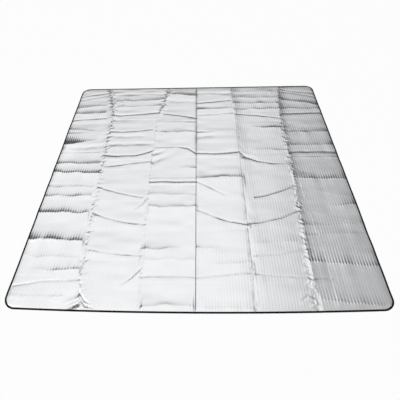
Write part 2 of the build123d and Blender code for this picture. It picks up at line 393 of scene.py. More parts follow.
def free_relief(x, y):
    """Height of the underside above the ground, and the finish: (free height, bend, wear and painted crease
    shade).
    """
    x, y = np.broadcast_arrays(np.asarray(x, float), np.asarray(y, float))
    lines = [np.full(x.shape, -HALF_WIDTH)]
    lines += [crease_line(k, y) for k in range(len(LENGTHWISE))]
    lines += [np.full(x.shape, HALF_WIDTH)]
    height = np.full(x.shape, LEVEL)
    wear = np.zeros(x.shape)
    bend = np.zeros(x.shape)
    loose = 1 - 0.4 * smooth_step(0.5 - 0.5 * y / HALF_LENGTH)
    for left, right in zip(lines, lines[1:]):
        u = np.clip((x - left) / (right - left), 0, 1)
        height += CROWN * (4 * u * (1 - u)) ** 0.7 * ((x >= left) & (x < right))
    height += 0.3 * value_noise(x, y, 150.0, 3)
    for k, (left, right) in enumerate(zip(lines, lines[1:])):
        across = smooth_step((x - left) / 25.0) * smooth_step((right - x) / 25.0)
        height += 0.42 * across * value_noise(x * 0.33, y + 7 * k, 46.0, 71 + k)
    for k, line in enumerate(lines[1:-1]):
        away = x - line
        height -= loose * LENGTHWISE_DEPTH[k] * np.exp(-np.abs(away) / LENGTHWISE_WIDTH[k])
        crumple = loose * LENGTHWISE_CRUMPLE[k] * np.exp(-np.abs(away) / 15.0)
        height += crumple * (
            0.8 * value_noise(away * 0.7, y + 0.9 * np.abs(away), 17.0, 21 + k)
            + 0.4 * value_noise(away, y, 8.0, 31 + k)
        )
        # the crumpled creases are painted darker in patches: worn metal, and painted shade in the crease
        worn_and_shaded = 0.25 * loose**3 * LENGTHWISE_CRUMPLE[k] * np.exp(-np.abs(away) / 4.0)
        wear = np.maximum(wear, worn_and_shaded * (value_noise(away, y, 14.0, 41 + k) > 0.1))
    for number, (kind, width, points) in enumerate(CROSS):
        reach = 5 * width
        across = [p[0] for p in points]
        along = [p[1] for p in points]
        close = (x > min(across) - 30) & (x < max(across) + 30)
        close &= (y > min(along) - reach) & (y < max(along) + reach)
        if not close.any():
            continue
        away, depth = near_line(x[close], y[close], points)
        along_x = x[close]
        seed = 100 + number
        soft = 0.3 if kind == "fold" else 1.0
        long_wander = 7.0 * value_noise(along_x, along_x * 0, 75.0, seed)
        short_wander = 2.4 * value_noise(along_x, along_x * 0, 21.0, seed)
        away = away + soft * (long_wander + short_wander)
        depth = depth * (1 + 0.35 * value_noise(along_x, along_x * 0 + 90, 48.0, seed))
        # a crease dies away past its ends, at the next lengthwise crease
        past = np.maximum(min(across) - x[close], x[close] - max(across))
        held = 1 - smooth_step(past / 22.0)
        height[close] -= depth * held * profile(kind, away, width)
        if kind == "fold":
            # a fold's line is painted darker: worn metal, and painted shade in the crease
            line_wear_and_shade = 0.45 * np.clip(depth / 3.0, 0, 1) * held * np.exp(-np.abs(away) / 3.0)
            wear[close] = np.maximum(wear[close], line_wear_and_shade)
        else:
            over = np.where(away > 0, away / (0.7 * width), -away / 5.0)
            bend[close] += depth * held * np.exp(-over) / 3.0
    # dark lines painted along the creases and the seam at the back: painted shade in the creases, and worn
    # metal
    for k, start, dark in WORN_AND_SHADED_BACKS:
        patchy = 0.7 + 0.5 * value_noise(y * 0, y, 55.0, 81 + k)
        worn_and_shaded = dark * patchy * smooth_step((y - start) / 300) * np.exp(-np.abs(x - lines[k + 1]) / 6.5)
        wear = np.maximum(wear, worn_and_shaded)
    free = height
    soft = 0.22
    height = soft * np.logaddexp(0, height / soft)
    height = MOST - soft * np.logaddexp(0, (MOST - height) / soft)
    edge = np.minimum(HALF_WIDTH - np.abs(x), HALF_LENGTH - np.abs(y))
    height *= 0.3 + 0.7 * smooth_step(edge / 55.0)
    return np.maximum(height, 0), (free, bend, np.clip(wear, 0, 1))


sample_y, sample_x = np.mgrid[-900:901:100, -900:901:100]
sample_height = free_relief(sample_x, sample_y)[0]
print("relief", sample_height.min().round(2), "to", sample_height.max().round(2), "mm")

# %% [markdown]
# An outer panel folds flat onto its neighbour, face to face. Where both stand high at the same
# place, they would cut into each other, so the two share the room that is between them.

# %% Room for the folds
def relief(x, y):
    """The relief, lowered where two panels that fold together would meet."""
    x, y = np.broadcast_arrays(np.asarray(x, float), np.asarray(y, float))
    height, finish = free_relief(x, y)
    for fold in (HINGES[0][0], HINGES[-1][0]):
        near = np.abs(x - fold) < HALF_WIDTH - abs(fold)
        if not near.any():
            continue
        facing = free_relief(2 * fold - x[near], y[near])[0]
        both = height[near] + facing
        height[near] *= np.minimum(1, ROOM / np.maximum(both, ROOM))
    return height, finish


lowered = sample_height - relief(sample_x, sample_y)[0]
print("lowered by", lowered.max().round(2), "mm at most")

# %% [markdown]
# The pad isn't a perfect square either: its front edge bows out a little, its sides give a
# millimetre or two where a cross crease reaches them, and its corners are round. One function
# moves every piece from the flat square to that plan.

# %% The plan
CORNER = 65.0
FRONT_BOW = 20.0  # how much further the middle of the front edge reaches than its ends
FRONT_REACH = 7.0
INSET_FROM = 880.0  # the places beyond this one are drawn in, so that a film ends at its inset
SIDE_FROM = 700.0
SIDE_GIVE = 2.2


def plan(x, y, inset=0.0):
    """Where a place of the flat square lies, with the edge drawn in by inset."""
    x, y = np.broadcast_arrays(np.asarray(x, float), np.asarray(y, float))
    u = np.clip((np.abs(x) - HALF_WIDTH + CORNER) / CORNER, 0, 1)
    v = np.clip((np.abs(y) - HALF_LENGTH + CORNER) / CORNER, 0, 1)
    round_x = np.abs(x) - CORNER * u + CORNER * u * np.sqrt(1 - v * v / 2)
    round_y = np.abs(y) - CORNER * v + CORNER * v * np.sqrt(1 - u * u / 2)
    new_x = np.sign(x) * (round_x - inset * smooth_step((np.abs(x) - INSET_FROM) / 100))
    new_y = np.sign(y) * (round_y - inset * smooth_step((np.abs(y) - INSET_FROM) / 100))
    front = smooth_step(-y / HALF_LENGTH)
    new_y = new_y - front * (FRONT_REACH + FRONT_BOW * (1 - (x / HALF_WIDTH) ** 2))
    side = smooth_step((np.abs(x) - SIDE_FROM) / 300)
    new_x = new_x + side * SIDE_GIVE * value_noise(y, np.sign(x) * 500, 90.0, 7)
    return new_x, new_y


print("the front edge's middle lies at y", float(plan(0.0, -HALF_LENGTH)[1]), "mm")

# %% [markdown]
# ## Meshes
#
# A film is a fine grid of points, so NumPy can work out every height at once, and the mesh is filled in a few
# calls. Six columns to each rib keep the ribs round, and the bands round the hinges have extra columns, which
# a sheet that turns right round in a few millimetres would need.

# %% Grid lines
COLUMNS_PER_RIB = 6
ROW_STEP = 5.0
BAND_STEP = 0.8  # mm between the columns of a film in the band round a hinge


def grid_lines(low, high, step, band_step):
    """The x of a zone's columns, on the ribs' own spacing, with fine ones round its hinge."""
    count = round((high - low) / step)
    lines = list(np.linspace(low, high, count + 1))
    for x, z, _, _ in HINGES:
        if low < x < high:
            band = BEND_SHARE * z
            lines = [line for line in lines if abs(line - x) > band + 0.3]
            lines += list(np.linspace(x - band, x + band, round(2 * band / band_step) + 1))
    return np.array(sorted(lines))


def row_lines(step):
    """The y of the rows, with extra ones under the tape's edge."""
    rows = set(np.round(np.arange(-HALF_LENGTH, HALF_LENGTH + 1, step), 3))
    for inset in (1.5, 3.5, 8.5, 10.5, 14.0):
        rows |= {HALF_LENGTH - inset, inset - HALF_LENGTH}
    return np.array(sorted(rows))


print(len(row_lines(ROW_STEP)), "rows of points from front to back")


# %% Pieces from points
def grid_faces(rows, columns, offset=0):
    """The quads of a grid of points that is stored row by row."""
    index = offset + np.arange(rows * columns).reshape(rows, columns)
    quads = [index[:-1, :-1], index[:-1, 1:], index[1:, 1:], index[1:, :-1]]
    return np.stack(quads, -1).reshape(-1, 4)


def new_piece(name, points, faces, material, attributes=None):
    """A smooth mesh object from points in mm and four-sided faces."""
    mesh = bpy.data.meshes.new(name)
    mesh.vertices.add(len(points))
    mesh.vertices.foreach_set("co", (np.asarray(points, float) * MM).ravel())
    mesh.loops.add(faces.size)
    mesh.loops.foreach_set("vertex_index", faces.ravel().astype(np.int32))
    mesh.polygons.add(len(faces))
    mesh.polygons.foreach_set("loop_start", np.arange(0, faces.size, 4, dtype=np.int32))
    mesh.polygons.foreach_set("use_smooth", np.ones(len(faces), bool))
    for key, values in (attributes or {}).items():
        layer = mesh.attributes.new(key, "FLOAT", "POINT")
        layer.data.foreach_set("value", np.asarray(values, np.float32).ravel())
    mesh.update(calc_edges=True)
    mesh.validate()
    mesh.materials.append(material)
    piece = bpy.data.objects.new(name, mesh)
    bpy.context.collection.objects.link(piece)
    return piece


def closed_slab(name, plan_x, plan_y, top, bottom, material):
    """A grid with an upper and a lower side and a wall round it, from heights in mm."""
    upper = np.stack([plan_x, plan_y, top], -1).reshape(-1, 3)
    lower = np.stack([plan_x, plan_y, bottom], -1).reshape(-1, 3)
    index = np.arange(top.size).reshape(top.shape)
    rim = np.concatenate([index[0, :], index[1:, -1], index[-1, -2::-1], index[-2:0:-1, 0]])
    after = np.roll(rim, -1)
    wall = np.stack([rim + top.size, after + top.size, after, rim], -1)
    sides = [grid_faces(*top.shape), grid_faces(*top.shape, top.size)[:, ::-1], wall]
    return new_piece(name, np.concatenate([upper, lower]), np.concatenate(sides), material)


def bend_and_name(piece):
    """Applies the piece's transform to its mesh."""
    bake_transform(piece)


# %% [markdown]
# ## Materials
#
# Each finish starts from what it is: its colour as a hex value, and the size of its pattern in
# millimetres. One function adds a node with its settings and links, which keeps a material to a
# few readable lines.

# %% Helpers for materials
def colour(hex_value):
    """An sRGB hex colour as linear RGBA."""
    parts = [int(hex_value[i : i + 2], 16) / 255 for i in (1, 3, 5)]
    return (*[p / 12.92 if p <= 0.04045 else ((p + 0.055) / 1.055) ** 2.4 for p in parts], 1.0)


def add_node(tree, kind, links=None, **settings):
    """A node with its settings; links gives an input's name or number and what feeds it."""
    made = tree.nodes.new(kind)
    for key, value in settings.items():
        setattr(made, key, value)
    for key, value in (links or {}).items():
        if isinstance(value, bpy.types.NodeSocket):
            tree.links.new(value, made.inputs[key])
        else:
            made.inputs[key].default_value = value
    return made


def calculate(tree, operation, *values):
    """The result of a maths node; each value is a number or a socket."""
    return add_node(tree, "ShaderNodeMath", dict(enumerate(values)), operation=operation).outputs[0]


def mix_colours(tree, share, first, second):
    """Two colours mixed by share; each is a hex value or a socket."""
    first, second = [colour(value) if isinstance(value, str) else value for value in (first, second)]
    return add_node(tree, "ShaderNodeMix", {0: share, 6: first, 7: second}, data_type="RGBA").outputs[2]


def rescale(tree, value, before, after, **settings):
    """A value moved from the range before to the range after, and held inside it."""
    ends = dict(enumerate((value, *before, *after)))
    return add_node(tree, "ShaderNodeMapRange", ends, **settings).outputs[0]


def new_material(name):
    """An empty node material, with its tree, its shader and its object coordinates."""
    material = bpy.data.materials.new(name)
    material.use_nodes = True
    tree = material.node_tree
    tree.nodes.clear()
    shader = add_node(tree, "ShaderNodeBsdfPrincipled")
    add_node(tree, "ShaderNodeOutputMaterial", {"Surface": shader.outputs[0]})
    place = add_node(tree, "ShaderNodeTexCoord").outputs["Object"]
    return material, tree, shader, place


# %% [markdown]
# The film is polyethylene with a very thin layer of aluminium, over ribbed foam. To the eye it is a soft
# mirror: bright where it sees the lamp, grey where it sees the wall, and never sharp, because the foam's
# cells print through. Its creases are painted darker: partly metal that wear has taken off, and partly
# painted shade in the creases.

# %% Aluminised film
CELL_PRINT = 3.2  # mm, the foam cells that show through, drawn a little coarse to be seen


def make_film(name, tint, worn_and_shaded, leaning):
    """The film; leaning says whether it uses the lean of the foam's folds."""
    material, tree, shader, place = new_material(name)
    wear = add_node(tree, "ShaderNodeAttribute", attribute_name="wear").outputs["Fac"]
    clouds = add_node(tree, "ShaderNodeTexNoise", {"Vector": place, "Scale": 1 / 0.11, "Detail": 4.0})
    cells = add_node(tree, "ShaderNodeTexVoronoi", {"Vector": place, "Scale": 1 / (CELL_PRINT * MM)})
    cloudy = rescale(tree, clouds.outputs[0], (0.3, 0.7), (0.0, 1.0))
    silver = mix_colours(tree, cloudy, *tint)
    rough = rescale(tree, clouds.outputs[0], (0.3, 0.7), (0.24, 0.31))
    rougher = calculate(tree, "MULTIPLY_ADD", wear, 0.22, rough)
    crinkle = add_node(
        tree, "ShaderNodeTexNoise", {"Vector": place, "Scale": 1 / 0.012, "Detail": 3.0, "Roughness": 0.55}
    )
    height = calculate(tree, "MULTIPLY_ADD", crinkle.outputs[0], 2.4, cells.outputs["Distance"])
    bump = add_node(tree, "ShaderNodeBump", {"Height": height, "Strength": 0.08, "Distance": 0.0006})
    if leaning:
        way = add_node(tree, "ShaderNodeAttribute", attribute_name="lean").outputs["Color"]
        leant = add_node(tree, "ShaderNodeNormalMap", {"Color": way}, space="TANGENT", uv_map="flat")
        tree.links.new(leant.outputs[0], bump.inputs["Normal"])
    # the film is mixed towards a dark grey along its creases: worn metal, and also painted shade in the
    # creases
    tree.links.new(mix_colours(tree, wear, silver, worn_and_shaded), shader.inputs["Base Color"])
    tree.links.new(rougher, shader.inputs["Roughness"])
    tree.links.new(bump.outputs[0], shader.inputs["Normal"])
    shader.inputs["Metallic"].default_value = 1.0
    return material


# 74767A is the dark grey painted into the creases: worn metal and painted shade
film_upper = make_film("aluminised_film", ("#EBEDEF", "#F3F4F6"), "#74767A", True)
film_under = make_film("aluminised_film_underside", ("#E2E4E6", "#EAECEE"), "#74767A", False)
print(film_upper.name, "has", len(film_upper.node_tree.nodes), "nodes")

# %% [markdown]
# The foam shows only where the laminate is cut open, but it is made as what it is: expanded
# polyethylene, white and slightly waxy, in closed cells about a millimetre across.

# %% Closed-cell foam
FOAM_CELL = 1.2  # mm


def make_foam():
    material, tree, shader, place = new_material("expanded_polyethylene_foam")
    cells = add_node(tree, "ShaderNodeTexVoronoi", {"Vector": place, "Scale": 1 / (FOAM_CELL * MM)})
    shade = mix_colours(tree, cells.outputs["Distance"], "#D5D8D9", "#F1F2F1")
    bump = add_node(tree, "ShaderNodeBump", {"Height": cells.outputs["Distance"], "Distance": 0.0003})
    tree.links.new(shade, shader.inputs["Base Color"])
    tree.links.new(bump.outputs[0], shader.inputs["Normal"])
    shader.inputs["Roughness"].default_value = 0.6
    shader.inputs["Subsurface Weight"].default_value = 0.1
    return material


foam_white = make_foam()
print(foam_white.name, "has cells of", FOAM_CELL, "mm")

# %% [markdown]
# The binding is a polyester grosgrain, woven with fine cords across its width. Black thread
# sews it on. The weave follows the tape round the corners, so it uses the tape's own map, in
# millimetres along and across, and not the object's coordinates.

# %% Binding tape and thread
WEAVE = 1.5  # mm between cords, about twice the real spacing, so that it can be seen


def make_tape():
    material, tree, shader, place = new_material("black_grosgrain_tape")
    along = add_node(tree, "ShaderNodeAttribute", attribute_name="along").outputs["Fac"]
    across = add_node(tree, "ShaderNodeAttribute", attribute_name="across").outputs["Fac"]
    cord_phase = calculate(tree, "MULTIPLY", along, 2 * math.pi / WEAVE)
    pick_phase = calculate(tree, "MULTIPLY", across, 2 * math.pi / (0.6 * WEAVE))
    cord = calculate(tree, "SINE", cord_phase)
    pick = calculate(tree, "SINE", pick_phase)
    weave = calculate(tree, "MULTIPLY_ADD", pick, 0.4, cord)
    lint = add_node(tree, "ShaderNodeTexNoise", {"Vector": place, "Scale": 1 / 0.02, "Detail": 5.0})
    level = rescale(tree, weave, (-1.4, 1.4), (0.0, 0.75))
    dust = rescale(tree, lint.outputs[0], (0.5, 0.8), (0.0, 0.3))
    dusty = mix_colours(tree, dust, mix_colours(tree, level, "#060607", "#18181A"), "#2C2C2F")
    bump = add_node(tree, "ShaderNodeBump", {"Height": weave, "Distance": 0.00015})
    tree.links.new(dusty, shader.inputs["Base Color"])
    tree.links.new(bump.outputs[0], shader.inputs["Normal"])
    shader.inputs["Roughness"].default_value = 0.8
    shader.inputs["Specular IOR Level"].default_value = 0.2
    return material


def make_thread():
    material, tree, shader, place = new_material("black_polyester_thread")
    twist = add_node(
        tree, "ShaderNodeTexWave", {"Vector": place, "Scale": 1 / 0.004, "Distortion": 2.0},
        bands_direction="DIAGONAL",
    )
    shade = mix_colours(tree, twist.outputs["Fac"], "#0C0C0D", "#222225")
    tree.links.new(shade, shader.inputs["Base Color"])
    shader.inputs["Roughness"].default_value = 0.5
    return material


tape_black = make_tape()
thread_black = make_thread()
print(tape_black.name, "and", thread_black.name)

# %% [markdown]
# The two widths of foam are joined by a hot bar, which melts a narrow line through the film. The
# line is duller and darker than the film, with the bar's small cross marks in it.

# %% Welded seam
WELD_MARK = 5.0  # mm between the bar's marks


def make_weld():
    material, tree, shader, place = new_material("hot_bar_weld")
    marks = add_node(
        tree, "ShaderNodeTexWave", {"Vector": place, "Scale": 0.314 / (WELD_MARK * MM), "Distortion": 1.0},
        bands_direction="Y",
    )
    shade = mix_colours(tree, marks.outputs["Fac"], "#6E7274", "#9BA0A2")
    bump = add_node(tree, "ShaderNodeBump", {"Height": marks.outputs["Fac"], "Distance": 0.0003})
    tree.links.new(shade, shader.inputs["Base Color"])
    tree.links.new(bump.outputs[0], shader.inputs["Normal"])
    shader.inputs["Roughness"].default_value = 0.5
    shader.inputs["Metallic"].default_value = 0.7
    return material


weld_grey = make_weld()
print(weld_grey.name, "has a mark every", WELD_MARK, "mm")

# %% [markdown]
# ## The films
#
# Each film is one layer of the grid: the relief, plus the ribs of the foam under it, and pinched
# where the tape holds it. The ribs are a plain sine, which is all that a moulded rib is.

# %% Upper and lower films
RIB_HEIGHT = 0.36
RIB_WEAR = 0.55  # how much flatter the ribs are at the front right, as they look in the photograph
WELD_HALF = 2.4
WELD_SINK = 0.7
WELD_RIDGE = 0.9
RIDGE_PLACE = 9.0  # mm from the weld to the ridge of spare film
RIDGE_HALF = 3.6
PINCH = 0.62  # mm that each face is drawn in under the tape
FILM_INSET = 2.5


def pinch(x, y):
    """1 under the tape and 0 well inside it."""
    edge = np.minimum(HALF_WIDTH - np.abs(x), HALF_LENGTH - np.abs(y))
    return 1 - smooth_step((edge - 0.85 * TAPE_WIDTH) / (0.9 * TAPE_WIDTH))


def ribs(x, y):
    """The foam's ribs, from 0 to RIB_HEIGHT, which flatten towards the tape."""
    wave = 0.5 + 0.5 * np.cos(2 * math.pi * x / RIB_PITCH)
    front = 0.5 - 0.5 * y / HALF_LENGTH
    pressed = 1 - RIB_WEAR * front * smooth_step((x + 100) / 500)
    return RIB_HEIGHT * pressed * wave * (1 - pinch(x, y))


def seam_shape(x, y):
    """The weld's groove, and the low ridge of spare film on its right."""
    groove = WELD_SINK * np.exp(-((x / WELD_HALF) ** 4))
    uneven = 0.8 + 0.3 * value_noise(x * 0, y, 70.0, 51)
    ridge = WELD_RIDGE * uneven * np.exp(-(((x - RIDGE_PLACE) / RIDGE_HALF) ** 2))
    return (ridge - groove) * (1 - pinch(x, y))


def upper_height(x, y, base):
    return base + THICK + ribs(x, y) - RIB_HEIGHT + seam_shape(x, y) - PINCH * pinch(x, y)


def lower_height(x, y, base):
    return base + 0.6 * ribs(x, y) + PINCH * pinch(x, y)


# %% [markdown]
# A real fold probably stands taller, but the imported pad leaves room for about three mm. So
# the film's finish is told how the unlimited folds would lean, as a direction at each point, and
# the light falls on it as on a taller fold. Along a lip the ribs buckle, which draws the short
# hatching there, and the film steps down beside the deepest creases.

# %% How the film leans
# The pad lies looser towards its front edge, so its folds lean more there than at the back.
STEEPEN = (1.8, 4.4)
MOST_LEAN = (0.31, 0.75)
RIB_BUCKLE = 3.4
SIDEWAYS = 0.45  # the share of a fold's lean across the pad, where the foam's ribs stiffen it


def lean(x, y, free, bend):
    """The film's lean as a unit direction, from the unlimited relief, for the finish to use."""
    rise_y, rise_x = np.gradient(free, y[:, 0], x[0])
    front = 0.5 - 0.5 * y / HALF_LENGTH
    steepen = STEEPEN[0] + (STEEPEN[1] - STEEPEN[0]) * front
    most = MOST_LEAN[0] + (MOST_LEAN[1] - MOST_LEAN[0]) * front
    rise_x, rise_y = SIDEWAYS * steepen * rise_x, steepen * rise_y
    buckle = RIB_BUCKLE * np.minimum(bend, 1.2) * (1 - pinch(x, y))
    rise_x -= buckle * RIB_HEIGHT * math.pi / RIB_PITCH * np.sin(2 * math.pi * x / RIB_PITCH)
    panel = np.zeros(x.shape, int)
    for k in range(len(LENGTHWISE)):
        panel += x > crease_line(k, y)
    rise_x += np.array(PANEL_LEAN)[panel]
    for k, side, width, back, fore in CREASE_STEPS:
        away = side * (x - crease_line(k, y))
        step = back + (fore - back) * smooth_step(1.35 * front - 0.1)
        rise_x += step * np.exp(-np.abs(away) / width) * (away > 0)
    steep = np.hypot(rise_x, rise_y) + 1e-6
    held = most * np.tanh(steep / most) / steep
    way = np.stack([-rise_x * held, -rise_y * held, np.ones(x.shape)], -1)
    return way / np.linalg.norm(way, axis=-1, keepdims=True)


# %% Film pieces
def make_layer(name, zone, step, row_step, height_of, facing, material):
    """One face of the laminate over a zone."""
    columns = grid_lines(BORDERS[zone], BORDERS[zone + 1], step, BAND_STEP)
    columns = np.concatenate([[columns[0] - step], columns, [columns[-1] + step]])
    rows = row_lines(row_step)
    x, y = np.meshgrid(columns, rows)
    base, (free, bend, wear) = relief(x, y)
    way = lean(x, y, free, bend)[:, 1:-1]
    x, y, base, wear = x[:, 1:-1], y[:, 1:-1], base[:, 1:-1], wear[:, 1:-1]
    plan_x, plan_y = plan(x, y, FILM_INSET)
    points = np.stack([plan_x, plan_y, height_of(x, y, base)], -1).reshape(-1, 3)
    faces = grid_faces(*x.shape)
    if facing < 0:
        faces = faces[:, ::-1]
    piece = new_piece(name, points, faces, material, {"wear": wear})
    leaning = piece.data.attributes.new("lean", "FLOAT_VECTOR", "POINT")
    leaning.data.foreach_set("vector", (0.5 + 0.5 * way).astype(np.float32).ravel())
    flat = piece.data.uv_layers.new(name="flat")
    corner = np.empty(len(piece.data.loops), np.int32)
    piece.data.loops.foreach_get("vertex_index", corner)
    place = np.stack([x.ravel(), y.ravel()], -1)[corner] / (2 * HALF_LENGTH) + 0.5
    flat.data.foreach_set("uv", place.astype(np.float32).ravel())
    return piece


rib_step = RIB_PITCH / COLUMNS_PER_RIB
upper_films = []
lower_films = []
for zone in range(len(HINGES)):
    upper_films.append(
        make_layer(f"upper_film_{zone + 1}", zone, rib_step, ROW_STEP, upper_height, 1, film_upper)
    )
    lower_films.append(
        make_layer(f"lower_film_{zone + 1}", zone, RIB_PITCH / 4, 2 * ROW_STEP, lower_height, -1, film_under)
    )
    print(upper_films[-1].name, len(upper_films[-1].data.polygons), "quads")

# %% [markdown]
# ## The foam core
#
# The core is a closed slab between the films. Its grid is too coarse for the ribs and the
# sharpest creases, so it keeps to the ribs' troughs, and each of its points takes the lowest
# relief round it for its upper face and the highest for its lower one: it never pokes through.

# %% Foam core
FILM_GAP = 0.12


def spread_extreme(values, pick):
    """Each value replaced by the least or the most of its eight neighbours and itself."""
    padded = np.pad(values, 1, mode="edge")
    rows, columns = values.shape
    around = [padded[i : i + rows, j : j + columns] for i in range(3) for j in range(3)]
    return pick(np.stack(around), axis=0)


def make_core(zone):
    columns = grid_lines(BORDERS[zone], BORDERS[zone + 1], RIB_PITCH / 2, 1.6)
    rows = row_lines(10.0)
    x, y = np.meshgrid(columns, rows)
    base, _ = relief(x, y)
    plan_x, plan_y = plan(x, y, 1.0)
    held = pinch(x, y)
    groove = WELD_SINK * (np.abs(x) < 2 * RIB_PITCH)
    top = spread_extreme(base - PINCH * held - groove, np.min) + THICK - RIB_HEIGHT - FILM_GAP
    bottom = spread_extreme(base + PINCH * held, np.max) + 0.6 * RIB_HEIGHT + FILM_GAP
    middle = (top + bottom) / 2
    half = np.maximum((top - bottom) / 2, 0.15)
    return closed_slab(f"foam_layer_{zone + 1}", plan_x, plan_y, middle + half, middle - half, foam_white)


cores = [make_core(zone) for zone in range(len(HINGES))]
print("foam layers", [len(core.data.polygons) for core in cores])

# %% [markdown]
# ## The binding
#
# The tape's section is a thin U, round at the pad's edge. It is swept along the pad's outline, whose points
# come from the same grid lines as the films, so that its points line up with theirs.

# %% The edge of the pad
TAPE_THICK = 0.45
TAPE_LIFT = 0.25  # mm that the tape's outer faces stay inside the pad's thickness


def loop_of_edge():
    """The pad's edge as grid places, counter-clockwise from the front left corner."""
    columns = np.unique(
        np.concatenate([grid_lines(a, b, rib_step, BAND_STEP) for a, b in zip(BORDERS, BORDERS[1:])]).round(4)
    )
    rows = row_lines(ROW_STEP)
    front = [(x, -HALF_LENGTH) for x in columns]
    right = [(HALF_WIDTH, y) for y in rows[1:]]
    back = [(x, HALF_LENGTH) for x in columns[-2::-1]]
    left = [(-HALF_WIDTH, y) for y in rows[-2:0:-1]]
    return np.array(front + right + back + left)


edge_places = loop_of_edge()
edge_x, edge_y = plan(edge_places[:, 0], edge_places[:, 1])
edge_plan = np.stack([edge_x, edge_y], -1)
forward = np.roll(edge_plan, -1, 0) - np.roll(edge_plan, 1, 0)
forward /= np.linalg.norm(forward, axis=1)[:, None]
outward = np.stack([forward[:, 1], -forward[:, 0]], -1)
edge_rise = relief(edge_places[:, 0] * 0.999, edge_places[:, 1] * 0.999)[0]
edge_along = np.concatenate([[0], np.cumsum(np.linalg.norm(np.diff(edge_plan, axis=0), axis=1))])
print("edge", round(edge_along[-1]), "mm in", len(edge_places), "steps")


def stretches(zone):
    """The runs of edge points that lie in a zone, each one unbroken, going round the pad."""
    low, high = BORDERS[zone] - 1e-3, BORDERS[zone + 1] + 1e-3
    inside = (edge_places[:, 0] >= low) & (edge_places[:, 0] <= high)
    start = int(np.argmin(inside))
    order = np.roll(np.arange(len(inside)), -start)
    runs = []
    run = []
    for i in order:
        if inside[i]:
            run.append(i)
        elif run:
            runs.append(run)
            run = []
    return runs + ([run] if run else [])


# %% Binding tape
def tape_section():
    """The U's outline as (inset from the edge, height), closed, outer side first."""
    top = THICK - TAPE_LIFT
    bottom = TAPE_LIFT
    radius = (top - bottom) / 2
    middle = (top + bottom) / 2
    outer = [(TAPE_WIDTH, top - 0.12), (TAPE_WIDTH - 0.5, top + 0.02), (TAPE_WIDTH / 2, top + 0.12)]
    inner = [(TAPE_WIDTH, top - TAPE_THICK), (TAPE_WIDTH / 2, top - TAPE_THICK)]
    for step in range(7):
        angle = math.pi / 2 - math.pi * step / 6
        outer.append((radius - radius * math.cos(angle), middle + radius * math.sin(angle)))
        small = radius - TAPE_THICK
        inner.append((radius - small * math.cos(angle), middle + small * math.sin(angle)))
    outer += [(TAPE_WIDTH / 2, bottom - 0.12), (TAPE_WIDTH - 0.5, bottom - 0.02), (TAPE_WIDTH, bottom + 0.12)]
    inner += [(TAPE_WIDTH / 2, bottom + TAPE_THICK), (TAPE_WIDTH, bottom + TAPE_THICK)]
    return np.array(outer + inner[::-1])


section = tape_section()
section_across = np.concatenate([[0], np.cumsum(np.linalg.norm(np.diff(section, axis=0), axis=1))])


def make_tape_piece(zone):
    points, faces, along, across = [], [], [], []
    for run in stretches(zone):
        offset = sum(len(part) for part in points)
        ring = len(section)
        at = edge_plan[run][:, None, :] - outward[run][:, None, :] * section[None, :, :1]
        z = edge_rise[run][:, None] + section[None, :, 1]
        points.append(np.concatenate([at, z[..., None]], -1).reshape(-1, 3))
        index = offset + np.arange(len(run) * ring).reshape(len(run), ring)
        beside = np.roll(index, -1, 1)
        faces.append(np.stack([index[:-1], beside[:-1], beside[1:], index[1:]], -1).reshape(-1, 4))
        half = ring // 2
        for end, turn in ((index[0], -1), (index[-1], 1)):
            cap = [[end[i], end[i + 1], end[ring - 2 - i], end[ring - 1 - i]] for i in range(half - 1)]
            faces.append(np.array(cap)[:, ::turn])
        along.append(np.repeat(edge_along[run], ring))
        across.append(np.tile(section_across, len(run)))
    values = {"along": np.concatenate(along), "across": np.concatenate(across)}
    name = f"binding_tape_{zone + 1}"
    return new_piece(name, np.concatenate(points), np.concatenate(faces), tape_black, values)


tapes = [make_tape_piece(zone) for zone in range(len(HINGES))]
print("tape pieces", [len(tape.data.polygons) for tape in tapes])

# %% [markdown]
# ## The stitching
#
# A lockstitch shows on both faces of the tape as a row of short dashes. It is the same stitch a
# few thousand times, so Geometry Nodes place it: a curve runs where the needle ran, it becomes
# points one stitch apart, and each point gets one small rounded stitch that is turned along it.

# %% A tree that sews along a curve
STITCH_PITCH = 5.0
STITCH_LENGTH = 3.9
STITCH_WIDTH = 0.9
STITCH_INSET = TAPE_WIDTH - 2.2
UPPER_STITCH_RISE = 0.15  # mm from the tape's upper face to the middle of its stitches
LOWER_STITCH_RISE = 0.23  # the same at its lower face, so that no stitch reaches the ground


